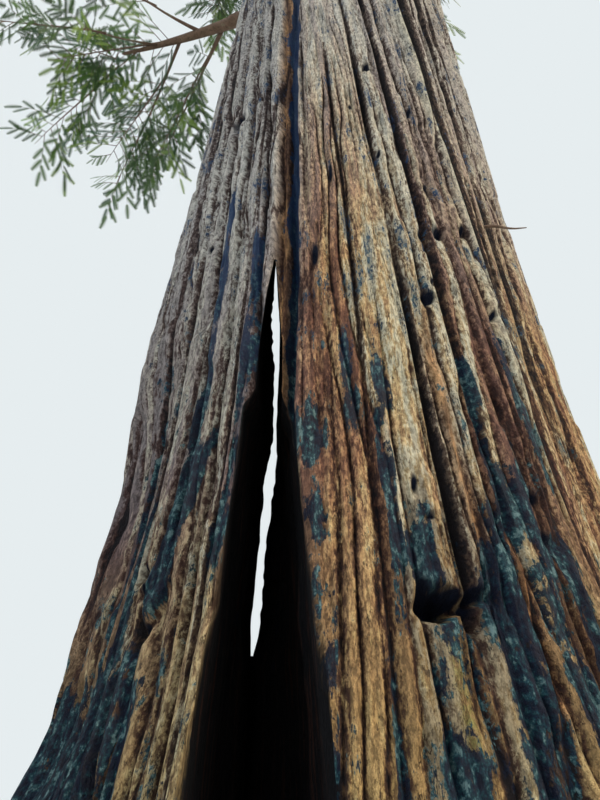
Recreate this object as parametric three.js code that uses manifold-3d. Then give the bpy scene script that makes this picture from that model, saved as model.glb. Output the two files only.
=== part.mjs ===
// Old redwood tree, in millimetres, +Z up. The origin is at the middle of the flat cut
// under the trunk, and the side with the burnt hollow faces -Y.
import * as THREE from "three";
import { mergeVertices } from "three/addons/utils/BufferGeometryUtils.js";
import Module from "manifold-3d";

// Heights.
const TREE_TOP = 40000;
const TRUNK_TOP = 38400;
const CROWN_FOOT = 13600;
const CROWN_HEAD = 38000;

// Trunk: a long taper, a root flare and a foot that spreads once more at the ground.
const STEM_RADIUS = 955;
const TAPER_TOP = 41000;
const TAPER_POWER = 0.85;
const FLARE = 389;
const FLARE_HEIGHT = 1340;
const FOOT_SPREAD = 200;
const FOOT_HEIGHT = 300;
const SWEEP = 450;
const TRUNK_COLUMNS = 42;
const TRUNK_RINGS = 20;
const RING_CROWDING = 2.2;

// Flutes of the trunk, by the number of ribs round it: depth high up, extra depth at the foot.
const FLUTES = [
  { ribs: 2, phase: 2.6, depth: 0.014, foot: 0.02 },
  { ribs: 5, phase: 0.4, depth: 0.014, foot: 0.06 },
  { ribs: 8, phase: 1.9, depth: 0.011, foot: 0.035 },
];
const FLUTE_FOOT = 1500;
const GRAIN_TURN = -0.04;

// Burnt hollow: a wedge that narrows from its mouth to a slot through the whole trunk. Its
// floor rises to a sill in the back wall, and its roof rises from front to back.
const HOLLOW_FLOOR = 100;
const HOLLOW_FRONT = -2300;
const HOLLOW_BACK = 1900;
const MOUTH_Y = -1100;
const WEDGE_END_Y = 300;
const SLOT_HALF = 27;
const SLOT_SILL = 1430;
const SLOT_SILL_Y = 700;
const HOLLOW_X = -287;
const HOLLOW_SKEW = -0.0594;
const MOUTH_FOOT_HALF = 188;
const MOUTH_TAPER = 0.067;
const ROOF_Z = 3475;
const ROOF_SLOPE = 1.05;
const LEAST_RISE = 500;

// Cleft that runs on above the hollow, slanting with the grain.
const CLEFT_FOOT = 2250;
const CLEFT_HEAD = 9000;
const CLEFT_DEPTH = 130;
const CLEFT_HALF = 55;
const CLEFT_FLOOR_SHARE = 0.3;
const CLEFT_CLEARANCE = 200;
const CLEFT_TURN = THREE.MathUtils.degToRad(-106.2);
const CLEFT_SLANT = THREE.MathUtils.degToRad(-2.8) / 1000;

// Dead twig on the right-hand side of the trunk.
const DEAD_TWIG = {
  z: 2940, turn: THREE.MathUtils.degToRad(-49.7), length: 210, root: 60, radius: 9,
};

// Limbs: the lower ones are boughs with foliage on their outer part, and the upper ones
// carry foliage from the trunk on. They leave the trunk in golden-angle turns.
const BOUGHS = 20;
const LIMBS = 35;
const LIMB_CROWDING = 0.92;
const GOLDEN_TURN = THREE.MathUtils.degToRad(137.508);
const HEIGHT_JITTER = 200;
const TURN_JITTER = 0.2;
const WIDEST_REACH = 3300;
const REACH_SHARE = [0.8, 1.14];
const REACH_POWER = 0.5;
const FOOT_NARROWING = 0.25;
const FOOT_BLEND = 0.06;
const SLOPE_AT_FOOT = -0.26;
const SLOPE_GAIN = 0.85;
const SLOPE_JITTER = 0.08;
const BEND_JITTER = 0.15;
const LIFT_SHARE = [0.06, 0.16];
const BOUGH_GIRTH = 0.041;
const BOUGH_SHARE = 0.38;
const LIMB_TAPER = 0.86;
const LEADER_GIRTH = 0.9;
const LOW_BOUGH = { z: 7350, turn: THREE.MathUtils.degToRad(163), reach: 2250, slope: -0.2 };

// Twigs: lengths are shares of the limb's reach, and angles are in radians.
const TWIGS = 5;
const TWIG_FROM = 0.55;
const TWIG_TO = 0.4;
const STEM_END = 0.95;
const TWIG_REACH = 0.4;
const TWIG_SHORTENING = 0.45;
const TWIG_SHARE = [0.8, 1.2];
const TWIG_GIRTH = 0.5;
const SPREAD = 0.95;
const SPREAD_CLOSING = 0.35;
const SPREAD_JITTER = 0.15;
const ROLL_JITTER = 0.75;
const LEADER_TURN = 2.2;

// Sprays of needles: one at the end of each twig, and one that hangs or stands on every
// second twig. A spray that doesn't fit is tried again smaller and turned.
const SPRAY_LENGTH = 0.64;
const SPRAY_SHARE = [0.85, 1.15];
const SPRAY_WIDTH = 0.78;
const SPRAY_THICKNESS = 0.04;
const SPRAY_POINTS = 8;
const SPRAY_NOTCH = 0.46;
const SPRAY_SWEEP = 0.3;
const SPRAY_TIP = 1.25;
const END_SPRAY_FROM = 0.72;
const SIDE_SPRAY_FROM = 0.45;
const SIDE_SPRAY_SIZE = 0.9;
const TIP_SPRAY_FROM = 0.7;
const SPRAY_TILT = [0.5, 1.3];
const SPRAY_DROOP = 0.5;
const HANGING_SHARE = 0.7;
const HANGING_PULL = -0.9;
const STANDING_PULL = 0.7;
const SIDE_SPRAY_LEAN = 0.35;
const SPRAY_TRIES = [1, 0.82, 0.66, 0.5];
const TRY_TURN = 2;

// Clear distances: between parts that meet, and between parts that only pass.
const JOINT_GAP = 0.3;
const TRUNK_GAP = 0.4;
const PASSING_GAP = 15;
const TWIG_PASSING_GAP = 60;
const BEAD_STEP = 80;

// The series of seeded numbers that each choice is drawn from.
const DRAW = {
  height: 1, turn: 2, reach: 3, bend: 4, lift: 5, slope: 6, spread: 7, roll: 8, twig: 9,
  spray: 10, tilt: 11, droop: 12, hanging: 13, sideRoll: 14, tip: 15,
};
const SEEDS_PER_LIMB = 40;

const BARK = { color: 0x6e5546, roughness: 0.92, metalness: 0 };
const NEEDLES = { color: 0x3f5a3c, roughness: 0.75, metalness: 0 };

const wasm = await Module();
wasm.setup();

// A repeatable number from 0 to 1 for item k of a series.
function scatter(k, series) {
  const value = Math.sin(k * 12.9898 + series * 78.233) * 43758.5453;
  return value - Math.floor(value);
}

function between([low, high], k, series) {
  return low + (high - low) * scatter(k, series);
}

function jitter(span, k, series) {
  return between([-span, span], k, series);
}

function toSolid(geometry) {
  geometry.deleteAttribute("normal");
  geometry.deleteAttribute("uv");
  const merged = mergeVertices(geometry, 1e-4);
  const vertProperties = new Float32Array(merged.attributes.position.array);
  const triVerts = new Uint32Array(merged.index.array);
  return new wasm.Manifold(new wasm.Mesh({ numProp: 3, vertProperties, triVerts }));
}

// The largest body of a solid, without loose scraps and sealed hollows.
function largestBody(solid) {
  const bodies = solid.decompose();
  return bodies.reduce((best, body) => (body.volume() > best.volume() ? body : best));
}

function toMesh(name, solid, finish) {
  const { vertProperties, triVerts } = largestBody(solid).getMesh();
  const geometry = new THREE.BufferGeometry();
  geometry.setAttribute("position", new THREE.BufferAttribute(vertProperties, 3));
  geometry.setIndex(new THREE.BufferAttribute(triVerts, 1));
  geometry.computeVertexNormals();
  const mesh = new THREE.Mesh(geometry, new THREE.MeshStandardMaterial(finish));
  mesh.name = name;
  return mesh;
}

// Moves every vertex of a geometry by a function of its place.
function remap(geometry, place) {
  const position = geometry.attributes.position;
  const point = new THREE.Vector3();
  for (let i = 0; i < position.count; i += 1) {
    point.fromBufferAttribute(position, i);
    const moved = place(point);
    position.setXYZ(i, moved.x, moved.y, moved.z);
  }
  return geometry;
}

// The trunk

function trunkAxis(z) {
  return new THREE.Vector3(SWEEP * Math.sin((z / TREE_TOP) * Math.PI * 0.9), 0, z);
}

function meanRadius(z) {
  const taper = STEM_RADIUS * (1 - z / TAPER_TOP) ** TAPER_POWER;
  return taper + FLARE * Math.exp(-z / FLARE_HEIGHT) + FOOT_SPREAD * Math.exp(-z / FOOT_HEIGHT);
}

function trunkRadius(turn, z) {
  let swell = 1;
  for (const { ribs, phase, depth, foot } of FLUTES) {
    const amount = depth + foot * Math.exp(-z / FLUTE_FOOT);
    swell += amount * Math.cos(ribs * (turn - (GRAIN_TURN * z) / 1000) + phase);
  }
  return meanRadius(z) * swell;
}

function onTrunk(turn, z, outward) {
  const radius = trunkRadius(turn, z) + outward;
  return trunkAxis(z).add(new THREE.Vector3(radius * Math.cos(turn), radius * Math.sin(turn), 0));
}

// The trunk's round, from the ground to its top, grown outward by a clear distance.
function trunkRound(grow) {
  const geometry = new THREE.CylinderGeometry(1, 1, 1, TRUNK_COLUMNS, TRUNK_RINGS);
  return toSolid(remap(geometry, ({ x, y, z }) => {
    const height = TRUNK_TOP * (y + 0.5) ** RING_CROWDING;
    if (Math.hypot(x, z) < 0.5) return trunkAxis(height);
    return onTrunk(Math.atan2(-z, x), height, grow);
  }));
}

function hollowCutter() {
  const geometry = new THREE.BoxGeometry(2, 1, 1, 2, 8, 8);
  return toSolid(remap(geometry, (corner) => {
    const y = HOLLOW_FRONT + (HOLLOW_BACK - HOLLOW_FRONT) * (corner.y + 0.5);
    const rise = THREE.MathUtils.clamp(y / SLOT_SILL_Y, 0, 1);
    const floor = HOLLOW_FLOOR + (SLOT_SILL - HOLLOW_FLOOR) * rise;
    const roof = ROOF_Z + ROOF_SLOPE * y;
    const z = floor + (Math.max(roof, floor + LEAST_RISE) - floor) * (corner.z + 0.5);
    const mouthHalf = Math.max(MOUTH_FOOT_HALF - MOUTH_TAPER * z, SLOT_HALF);
    const open = Math.max((WEDGE_END_Y - y) / (WEDGE_END_Y - MOUTH_Y), 0);
    const half = SLOT_HALF + (mouthHalf - SLOT_HALF) * open;
    return new THREE.Vector3(HOLLOW_X + HOLLOW_SKEW * y + corner.x * half, y, z);
  }));
}

function cleftCutter() {
  const geometry = new THREE.BoxGeometry(2, 1, 1, 1, 1, 10);
  return toSolid(remap(geometry, (corner) => {
    const rise = corner.z + 0.5;
    const z = CLEFT_FOOT + (CLEFT_HEAD - CLEFT_FOOT) * rise;
    const middle = CLEFT_TURN + CLEFT_SLANT * (z - CLEFT_FOOT);
    const half = (CLEFT_HALF * (1 - 0.6 * rise)) / meanRadius(z);
    const inner = corner.y < 0;
    const depth = inner ? -CLEFT_DEPTH * (1 - 0.8 * rise) : CLEFT_CLEARANCE;
    return onTrunk(middle - half * corner.x * (inner ? CLEFT_FLOOR_SHARE : 1), z, depth);
  }));
}

function deadTwig() {
  const { z, turn, length, root, radius } = DEAD_TWIG;
  const start = onTrunk(turn, z, -root);
  const end = start.clone().add(new THREE.Vector3(length + root, 0, 0));
  return tube((s) => start.clone().lerp(end, s), 0, 1, () => radius, 3, 1);
}

// The limbs

// Directions of a curve at a share of its length: along it, sideways and up.
function frameAt(curve, s) {
  const along = curve(s + 0.01).sub(curve(s - 0.01)).normalize();
  const guide = new THREE.Vector3(0, 0, 1);
  if (Math.abs(along.z) > 0.9) guide.set(0, 1, 0);
  const side = new THREE.Vector3().crossVectors(along, guide).normalize();
  const up = new THREE.Vector3().crossVectors(side, along);
  return { along, side, up };
}

// A tapering solid round a curve from one share of it to another, with flat ends.
function tube(curve, from, to, radiusAt, sides, steps) {
  const geometry = new THREE.CylinderGeometry(1, 1, 1, sides, steps);
  return toSolid(remap(geometry, ({ x, y, z }) => {
    const s = from + (to - from) * (y + 0.5);
    const { side, up } = frameAt(curve, s);
    return curve(s).addScaledVector(side, x * radiusAt(s)).addScaledVector(up, z * radiusAt(s));
  }));
}

function crownReach(z) {
  const rise = (z - CROWN_FOOT) / (TREE_TOP - CROWN_FOOT);
  const foot = 1 - FOOT_NARROWING * Math.exp(-rise / FOOT_BLEND);
  return WIDEST_REACH * (1 - rise) ** REACH_POWER * foot;
}

// A limb that leaves the trunk at a height and a turn, and bends up again towards its tip.
// Its curve runs from the trunk's axis, and its foliage starts at a share of it.
function makeLimb(name, k, rootZ, turn, reach, slope, hasBough) {
  const bend = jitter(BEND_JITTER, k, DRAW.bend);
  const lift = between(LIFT_SHARE, k, DRAW.lift) * reach;
  const root = trunkAxis(rootZ);
  const curve = (s) => {
    const heading = turn + bend * s * s;
    const out = reach * s;
    const height = out * slope + lift * s * s;
    return new THREE.Vector3(out * Math.cos(heading), out * Math.sin(heading), height).add(root);
  };
  const radiusAt = (s) => BOUGH_GIRTH * reach * (1 - LIMB_TAPER * s);
  const bark = meanRadius(rootZ) / reach;
  const start = hasBough ? Math.max(BOUGH_SHARE, bark + 0.1) : bark;
  return { name, k, curve, reach, radiusAt, start, hasBough, middle: curve((start + 1) / 2) };
}

function crownLimbs() {
  return Array.from({ length: LIMBS }, (_, k) => {
    const rise = (k / (LIMBS - 1)) ** LIMB_CROWDING;
    const height = CROWN_FOOT + (CROWN_HEAD - CROWN_FOOT) * rise;
    const z = height + jitter(HEIGHT_JITTER, k, DRAW.height);
    const turn = k * GOLDEN_TURN + jitter(TURN_JITTER, k, DRAW.turn);
    const reach = crownReach(z) * between(REACH_SHARE, k, DRAW.reach);
    const slope = SLOPE_AT_FOOT + SLOPE_GAIN * rise + jitter(SLOPE_JITTER, k, DRAW.slope);
    return makeLimb(String(k + 1).padStart(2, "0"), k, z, turn, reach, slope, k < BOUGHS);
  });
}

function lowLimb() {
  const { z, turn, reach, slope } = LOW_BOUGH;
  return makeLimb("low", LIMBS, z, turn, reach, slope, true);
}

// The leader: a stem that goes straight up from the flat top of the trunk.
function makeLeader() {
  const reach = TREE_TOP - TRUNK_TOP;
  const curve = (s) => trunkAxis(TRUNK_TOP).add(new THREE.Vector3(0, 0, reach * s));
  const radiusAt = (s) => LEADER_GIRTH * meanRadius(TRUNK_TOP) * (1 - LIMB_TAPER * s);
  return { name: "top", k: LIMBS + 1, curve, reach, radiusAt, start: 0, isLeader: true,
    middle: curve(0.5) };
}

// The foliage

// Whether a point lies in a limb's own space: nearer to its middle than to any other's, with
// the wider limbs reaching further.
function inOwnSpace(limb, limbs, point) {
  const share = (other) => point.distanceToSquared(other.middle) - (other.reach / 2) ** 2;
  const own = share(limb);
  return limbs.every((other) => other === limb
    || share(other) - own > 2 * PASSING_GAP * other.middle.distanceTo(limb.middle));
}

function clearOfTrunk(point) {
  const axis = trunkAxis(point.z);
  const distance = Math.hypot(point.x - axis.x, point.y - axis.y);
  return point.z > TRUNK_TOP || distance > 1.05 * meanRadius(point.z) + 2 * PASSING_GAP;
}

// Whether a point of a limb's foliage lies where that foliage may be.
function isFree(point, limb, limbs) {
  return inOwnSpace(limb, limbs, point) && clearOfTrunk(point)
    && point.z < TREE_TOP + JOINT_GAP;
}

// Points along a limb, each with its radius, for keeping other parts off it.
function limbBeads(limb, to) {
  const count = Math.ceil((limb.reach * to) / BEAD_STEP);
  return Array.from({ length: count + 1 }, (_, i) => {
    const s = (to * i) / count;
    return { point: limb.curve(s), radius: limb.radiusAt(s) };
  });
}

// The axes of a flat spray: along it, across it, and its normal, turned by a roll.
function sprayAxes(along, roll) {
  const { side, up } = frameAt((s) => along.clone().multiplyScalar(s), 0.5);
  const normal = up.multiplyScalar(Math.cos(roll)).addScaledVector(side, Math.sin(roll));
  return { along, normal, across: new THREE.Vector3().crossVectors(along, normal) };
}

// How far a corner of a spray's outline reaches from its middle.
function toothReach(corner) {
  if (corner === 0) return SPRAY_TIP;
  return corner % 2 === 1 || corner === SPRAY_POINTS / 2 ? 1 : SPRAY_NOTCH;
}

// A spray: a thin blade with a toothed outline, from its root to its tip.
function spraySolid({ root, length, axes }) {
  const geometry = new THREE.SphereGeometry(1, SPRAY_POINTS, 2);
  const half = length / (1 + SPRAY_TIP);
  const middle = root.clone().addScaledVector(axes.along, half);
  return toSolid(remap(geometry, ({ x, y, z }) => {
    const place = middle.clone();
    if (Math.abs(y) > 0.5) {
      return place.addScaledVector(axes.normal, (y * SPRAY_THICKNESS * length) / 2);
    }
    const turn = Math.abs(Math.atan2(z, x)) / (2 * Math.PI);
    const out = toothReach(Math.round(turn * SPRAY_POINTS));
    place.addScaledVector(axes.along, half * out * (x + SPRAY_SWEEP * Math.abs(z)));
    return place.addScaledVector(axes.across, (out * z * SPRAY_WIDTH * length) / 2);
  }));
}

// Whether a spray keeps to its limb's space and stays off the trunk and every other limb.
function sprayFits({ root, length, axes }, limb, limbs, beads) {
  const half = (SPRAY_WIDTH * length) / 2;
  for (let i = 0; i <= 8; i += 1) {
    for (let j = -1; j <= 1; j += 1) {
      const point = root.clone().addScaledVector(axes.along, (length * i) / 8);
      point.addScaledVector(axes.across, half * j);
      if (!isFree(point, limb, limbs)) return false;
    }
  }
  return beads.every(({ point, radius }) => {
    const offset = point.clone().sub(root);
    const gap = radius + PASSING_GAP;
    const ahead = offset.dot(axes.along);
    return ahead < -gap || ahead > length + gap
      || Math.abs(offset.dot(axes.across)) > half + gap
      || Math.abs(offset.dot(axes.normal)) > SPRAY_THICKNESS * length + gap;
  });
}

function twigFits(start, end, limb, limbs, beads) {
  for (let i = 2; i <= 10; i += 1) {
    const point = start.clone().lerp(end, i / 10);
    if (!isFree(point, limb, limbs)) return false;
    const near = (bead) => bead.point.distanceTo(point) < bead.radius + TWIG_PASSING_GAP;
    if (beads.some(near)) return false;
  }
  return true;
}

// Where one twig of a limb leaves its stem, which way, and how long it is.
function makeTwig(limb, j) {
  const seed = limb.k * SEEDS_PER_LIMB + j;
  const s = limb.start + ((1 - limb.start) * (j + TWIG_FROM)) / (TWIGS + TWIG_TO);
  const { along, side, up } = frameAt(limb.curve, s);
  const hand = j % 2 === 0 ? 1 : -1;
  const spread = SPREAD - (SPREAD_CLOSING * j) / TWIGS + jitter(SPREAD_JITTER, seed, DRAW.spread);
  const roll = hand * jitter(ROLL_JITTER, seed, DRAW.roll) + (limb.isLeader ? j * LEADER_TURN : 0);
  const direction = along.clone().multiplyScalar(Math.cos(spread))
    .addScaledVector(side, hand * Math.sin(spread) * Math.cos(roll))
    .addScaledVector(up, Math.sin(spread) * Math.sin(roll));
  const share = between(TWIG_SHARE, seed, DRAW.twig) * (1 - (TWIG_SHORTENING * j) / TWIGS);
  const start = limb.curve(s);
  const end = start.clone().addScaledVector(direction, TWIG_REACH * limb.reach * share);
  return { seed, hand, along, direction, start, end, radius: TWIG_GIRTH * limb.radiusAt(s) };
}

// The twigs and sprays of one limb, by a seeded rule: twigs leave the stem on alternate
// sides, and each carries a spray at its end, every second one a hanging or standing spray,
// and the stem one at its tip.
function growFoliage(limb, limbs, beads) {
  const sprays = [];
  const trySpray = (root, along, length, roll) => {
    for (const share of SPRAY_TRIES) {
      const axes = sprayAxes(along, roll + TRY_TURN * (1 - share));
      const spray = { root, length: share * length, axes };
      if (sprayFits(spray, limb, limbs, beads)) {
        sprays.push(spray);
        return;
      }
    }
  };
  const twigs = [];
  for (let j = 0; j < TWIGS; j += 1) {
    const twig = makeTwig(limb, j);
    const { seed, hand, along, direction, start, end } = twig;
    if (!twigFits(start, end, limb, limbs, beads)) continue;
    twigs.push(twig);
    const size = SPRAY_LENGTH * limb.reach * between(SPRAY_SHARE, seed, DRAW.spray);
    const droop = new THREE.Vector3(0, 0, -SPRAY_DROOP * scatter(seed, DRAW.droop));
    const tilt = hand * between(SPRAY_TILT, seed, DRAW.tilt);
    trySpray(start.clone().lerp(end, END_SPRAY_FROM), droop.add(direction).normalize(), size, tilt);
    if (j % 2 === 1) continue;
    const pull = scatter(seed, DRAW.hanging) < HANGING_SHARE ? HANGING_PULL : STANDING_PULL;
    const aside = new THREE.Vector3(0, 0, pull).addScaledVector(direction, SIDE_SPRAY_LEAN)
      .addScaledVector(along, SIDE_SPRAY_LEAN).normalize();
    trySpray(start.clone().lerp(end, SIDE_SPRAY_FROM), aside, SIDE_SPRAY_SIZE * size,
      Math.PI * scatter(seed, DRAW.sideRoll));
  }
  const length = limb.isLeader ? (1 - TIP_SPRAY_FROM) * limb.reach : SPRAY_LENGTH * limb.reach;
  trySpray(limb.curve(TIP_SPRAY_FROM), frameAt(limb.curve, 1).along, length,
    between(SPRAY_TILT, limb.k, DRAW.tip));
  return { twigs, sprays };
}

// A three-sided twig that comes to a point.
function twigSolid({ start, end, radius }) {
  const line = (s) => start.clone().lerp(end, s);
  const { side, up } = frameAt(line, 0.5);
  return toSolid(remap(new THREE.ConeGeometry(1, 1, 3, 1), ({ x, y, z }) =>
    line(y + 0.5).addScaledVector(side, x * radius).addScaledVector(up, z * radius)));
}

// A mass of foliage: its stem, which meets the bough's tip or the bark, with the twigs and
// sprays fused on.
function foliageSolid(limb, limbs, trunkGrown) {
  const beads = limbs.filter((other) => other !== limb).flatMap((other) => limbBeads(other, 1));
  if (limb.hasBough) beads.push(...limbBeads(limb, limb.start));
  const onFlatEnd = limb.hasBough || limb.isLeader;
  const from = onFlatEnd ? limb.start + JOINT_GAP / limb.reach : limb.start / 2;
  let solid = tube(limb.curve, from, STEM_END, limb.radiusAt, 4, 2);
  if (!onFlatEnd) solid = largestBody(solid.subtract(trunkGrown));
  const { twigs, sprays } = growFoliage(limb, limbs, beads);
  for (const twig of twigs) solid = solid.add(twigSolid(twig));
  for (const spray of sprays) solid = solid.add(spraySolid(spray));
  return solid;
}

// The whole tree

const tree = new THREE.Group();
const trunkGrown = trunkRound(TRUNK_GAP);
const trunk = trunkRound(0).add(deadTwig()).subtract(hollowCutter().add(cleftCutter()));
tree.add(toMesh("trunk", trunk, BARK));

const limbs = [...crownLimbs(), lowLimb(), makeLeader()];
for (const limb of limbs.filter(({ hasBough }) => hasBough)) {
  const bough = tube(limb.curve, 0.05, limb.start, limb.radiusAt, 6, 3);
  tree.add(toMesh(`bough_${limb.name}`, bough.subtract(trunkGrown), BARK));
}
for (const limb of limbs) {
  tree.add(toMesh(`foliage_${limb.name}`, foliageSolid(limb, limbs, trunkGrown), NEEDLES));
}

export default tree;
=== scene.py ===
import math
from contextlib import contextmanager
import bmesh
import bpy
import numpy as np
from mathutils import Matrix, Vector


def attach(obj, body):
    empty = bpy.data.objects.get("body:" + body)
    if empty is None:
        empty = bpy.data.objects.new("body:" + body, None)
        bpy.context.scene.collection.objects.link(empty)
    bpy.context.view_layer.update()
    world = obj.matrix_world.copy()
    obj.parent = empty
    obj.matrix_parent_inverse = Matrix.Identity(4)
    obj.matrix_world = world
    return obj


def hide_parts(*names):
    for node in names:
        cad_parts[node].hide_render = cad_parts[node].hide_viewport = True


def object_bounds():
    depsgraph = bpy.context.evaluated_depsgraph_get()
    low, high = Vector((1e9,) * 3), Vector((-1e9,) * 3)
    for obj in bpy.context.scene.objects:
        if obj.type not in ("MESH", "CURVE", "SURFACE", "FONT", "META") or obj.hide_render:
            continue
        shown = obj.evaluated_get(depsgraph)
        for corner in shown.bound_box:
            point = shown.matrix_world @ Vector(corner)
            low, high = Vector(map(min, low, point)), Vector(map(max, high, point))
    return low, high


# An old redwood, 40 m tall in metres, with +Z up and the burnt hollow facing -Y.
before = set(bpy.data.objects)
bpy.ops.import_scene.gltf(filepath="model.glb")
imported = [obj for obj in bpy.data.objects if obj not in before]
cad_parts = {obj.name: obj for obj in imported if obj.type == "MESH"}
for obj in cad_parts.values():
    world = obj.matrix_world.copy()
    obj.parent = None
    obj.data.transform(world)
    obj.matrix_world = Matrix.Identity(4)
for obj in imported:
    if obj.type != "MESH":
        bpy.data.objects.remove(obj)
cad_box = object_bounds()


# Trunk, lower part
# A fluted stem of soft fibrous bark that flares at the foot. The bark is split into long
# ropes that drift to the left as they rise, and fire has scarred its front.
TREE_TOP = 40
TRUNK_TOP = 38.4
STEM_RADIUS = 0.955
TAPER_TOP = 41
TAPER_POWER = 0.85
FLARE = 0.389
FLARE_HEIGHT = 1.34
FOOT_SPREAD = 0.2
FOOT_HEIGHT = 0.3
SWEEP = 0.45
FLUTES = [(2, 2.6, 0.014, 0.02), (5, 0.4, 0.014, 0.06), (8, 1.9, 0.011, 0.035)]
FLUTE_FOOT = 1.5
GRAIN_TURN = -0.04
LOWER_TOP = 8
FRONT_ARC = (-158, -8)
FRONT_COLUMNS = 600
BACK_COLUMNS = 190
ROW_BANDS = [
    (0, 0.7, 0.028), (0.7, 1.12, 0.014), (1.12, 1.34, 0.0085), (1.34, 3.2, 0.0155),
    (3.2, 5.2, 0.022), (5.2, LOWER_TOP, 0.036),
]
ROPES = 56
STRANDS_PER_ROPE = 2.625


def scatter(k, series):
    """A repeatable number from 0 to 1 for item k of a series."""
    value = np.sin(k * 12.9898 + series * 78.233) * 43758.5453
    return value - np.floor(value)


def soft_noise(place, series):
    """Smooth noise from -1 to 1 at an array of places."""
    cell = np.floor(place)
    part = place - cell
    ease = part * part * (3 - 2 * part)
    total = np.zeros(len(place))
    for corner in np.ndindex(2, 2, 2):
        weight = np.ones(len(place))
        for axis, step in enumerate(corner):
            weight *= ease[:, axis] if step else 1 - ease[:, axis]
        knot = (cell + corner) @ np.array([1, 57.31, 113.77])
        total += weight * scatter(knot, series)
    return 2 * total - 1


def axis_x(z):
    return SWEEP * np.sin(z / TREE_TOP * math.pi * 0.9)


def mean_radius(z):
    taper = STEM_RADIUS * (1 - z / TAPER_TOP) ** TAPER_POWER
    return taper + FLARE * np.exp(-z / FLARE_HEIGHT) + FOOT_SPREAD * np.exp(-z / FOOT_HEIGHT)


def trunk_radius(turn, z):
    swell = 1
    for ribs, phase, depth, foot in FLUTES:
        amount = depth + foot * np.exp(-z / FLUTE_FOOT)
        swell = swell + amount * np.cos(ribs * (turn - GRAIN_TURN * z) + phase)
    return mean_radius(z) * swell


# The grain leaves the vertical as it rises: a rope of bark that starts at one turn at the
# ground has drifted to another at a height, less near the hollow than elsewhere.
drift_heights = np.linspace(0, 40, 2001)
drift_slopes = 1.8 * drift_heights ** 0.8 / (1 + (drift_heights / 7.5) ** 6)
drift_turns = np.cumsum(drift_slopes) * (drift_heights[1] - drift_heights[0])


def grain_pull(ground_turn):
    offset = (ground_turn + 108 + 180) % 360 - 180
    return 0.95 - 0.33 * bell(offset, 18)


def turn_on_grain(ground_turn, z):
    """The turn in degrees, at a height, of the grain that starts at a turn at the ground."""
    return ground_turn - grain_pull(ground_turn) * np.interp(z, drift_heights, drift_turns)


def ground_turn_of(turn, z):
    """The turn in degrees at the ground of the grain that passes a place on the trunk."""
    drift = np.interp(z, drift_heights, drift_turns)
    ground = turn + 0.8 * drift
    for _ in range(24):
        ground = turn + grain_pull(ground) * drift
    return ground


def window(value, low, high, soft):
    """1 between two limits and 0 outside them, with soft edges."""
    rise = np.clip((value - low) / soft + 0.5, 0, 1)
    fall = np.clip((high - value) / soft + 0.5, 0, 1)
    return rise * rise * (3 - 2 * rise) * fall * fall * (3 - 2 * fall)


def bell(value, half):
    """1 where a value is nought, falling off smoothly on both sides."""
    return np.exp(-(value / half) ** 2)


# Long furrows of the front: turn at the ground, half width in degrees, depth in
# millimetres, lowest and highest point.
FURROWS = np.array([
    (-77.7, 0.8, 52, 1.1, 7.5), (-69.8, 0.9, 55, 1.6, 8), (-52, 2.6, 80, 0.9, 9),
    (-38.4, 2, 65, 1.8, 9), (-87.6, 0.7, 30, -1, 4.2), (-93.2, 0.5, 20, -1, 3),
    (-61.5, 0.6, 22, -1, 4.8), (-45.5, 0.6, 25, -1, 6), (-65.6, 0.4, 12, 2.2, 5),
    (-74.5, 0.6, 28, -1, 1.6), (-82.6, 0.4, 14, -1, 1.1), (-112.6, 0.5, 22, -1, 5),
    (-116.9, 0.6, 26, -1, 6.5), (-123.9, 0.6, 34, -1, 7), (-129.6, 0.7, 36, -1, 8),
    (-136, 0.8, 40, -1, 8), (-30, 0.8, 40, -1, 8), (-96.8, 0.4, 16, 2, 6),
]) / (1, 1, 1000, 1, 1)
# Scars: turn, height in metres, then width, length and depth in millimetres. The first are
# the holes of old twigs, and the last ones the burnt pocket under a slab of bark.
SCARS = np.array([
    (-84.8, 3.92, 30, 26, 50), (-72, 2.92, 18, 30, 30), (-71, 2.64, 18, 26, 35),
    (-83.8, 3.13, 10, 16, 20), (-76.6, 2.24, 22, 16, 35), (-75.5, 2.61, 14, 22, 25),
    (-46.7, 2.84, 18, 35, 40), (-45.5, 3.42, 14, 28, 35), (-64, 2.7, 14, 30, 30),
    (-73.3, 3.53, 12, 22, 25), (-62.9, 3.46, 20, 60, 40), (-75.3, 2.33, 10, 14, 20),
    (-61.7, 2.24, 14, 20, 25), (-135.5, 4.86, 20, 20, 30), (-133.6, 3.89, 45, 40, 50),
    (-136.3, 3.21, 22, 22, 30), (-132.9, 2.83, 16, 16, 25), (-84, 1.49, 10, 22, 20),
    (-82.4, 1.4, 14, 10, 16), (-65.8, 1.48, 30, 28, 20), (-65.6, 1.36, 34, 30, 20),
    (-134, 1.6, 20, 20, 30), (-128.5, 1.35, 24, 22, 35), (-124.4, 1.17, 20, 20, 28),
    (-127.2, 1.29, 18, 18, 26), (-96.5, 2.98, 12, 80, 20), (-99.6, 2.46, 16, 50, 30),
    (-91, 3.54, 10, 14, 15), (-83.4, 1.175, 50, 20, 75), (-80.9, 1.185, 34, 22, 85),
    (-79.4, 1.15, 22, 30, 70), (-78.3, 1.2, 24, 16, 60), (-84.6, 1.2, 16, 24, 40),
    (-90, 0.3, 100, 50, 30),
]) / (1, 1, 1000, 1000, 1000)
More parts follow.
